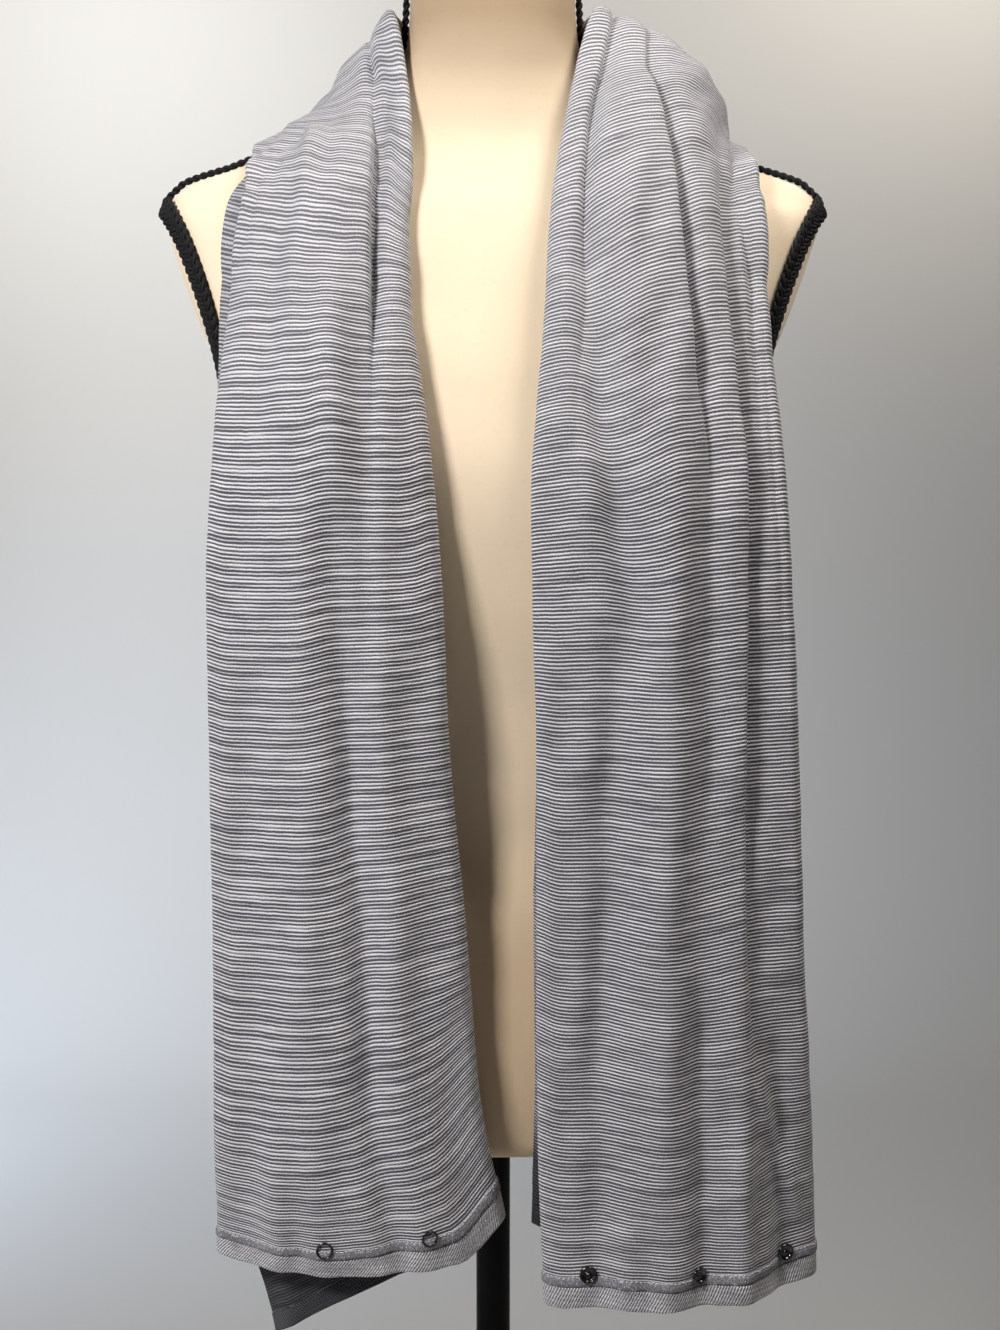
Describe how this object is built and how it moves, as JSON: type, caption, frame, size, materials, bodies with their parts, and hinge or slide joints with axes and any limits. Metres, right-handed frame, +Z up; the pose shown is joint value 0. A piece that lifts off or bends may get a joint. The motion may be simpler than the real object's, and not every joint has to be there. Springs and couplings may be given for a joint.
{
  "type": "scarf on a dress form",
  "caption": "Striped jersey scarf with snaps at its hems, draped round the neck of a limbless dress form on a round stand.",
  "frame": {"origin": "centre of the stand base's underside, on the floor", "axes": "+Z up, the form faces -Y, +X is to the right as one looks at its front"},
  "size_m": [0.4066, 0.344, 1.504],
  "materials": {
    "jersey": "fine striped cotton jersey, matt",
    "hem_binding": "ribbed jersey binding, matt",
    "seam_stitching": "coverstitched seam",
    "gunmetal": "dark gunmetal, half gloss",
    "form_cover": "cream jersey cover, smooth",
    "black_braid": "black gimp braid and cord",
    "stand_metal": "black paint, half matt"
  },
  "bodies": {
    "root": {"left_tail": "jersey", "neck_wrap": "jersey", "right_tail": "jersey", "left_hem_band": "hem_binding", "right_hem_band": "hem_binding", "left_seam_strip": "seam_stitching", "right_seam_strip": "seam_stitching", "left_snap_front_1": "gunmetal", "left_snap_front_2": "gunmetal", "left_snap_back_1": "gunmetal", "left_snap_back_2": "gunmetal", "right_snap_front_1": "gunmetal", "right_snap_front_2": "gunmetal", "right_snap_front_3": "gunmetal", "right_snap_back_1": "gunmetal", "right_snap_back_2": "gunmetal", "torso": "form_cover", "armhole_braid_left": "black_braid", "armhole_braid_right": "black_braid", "shoulder_cord_left": "black_braid", "shoulder_cord_right": "black_braid", "stand_pole": "stand_metal", "stand_base": "stand_metal"}
  },
  "joints": []
}
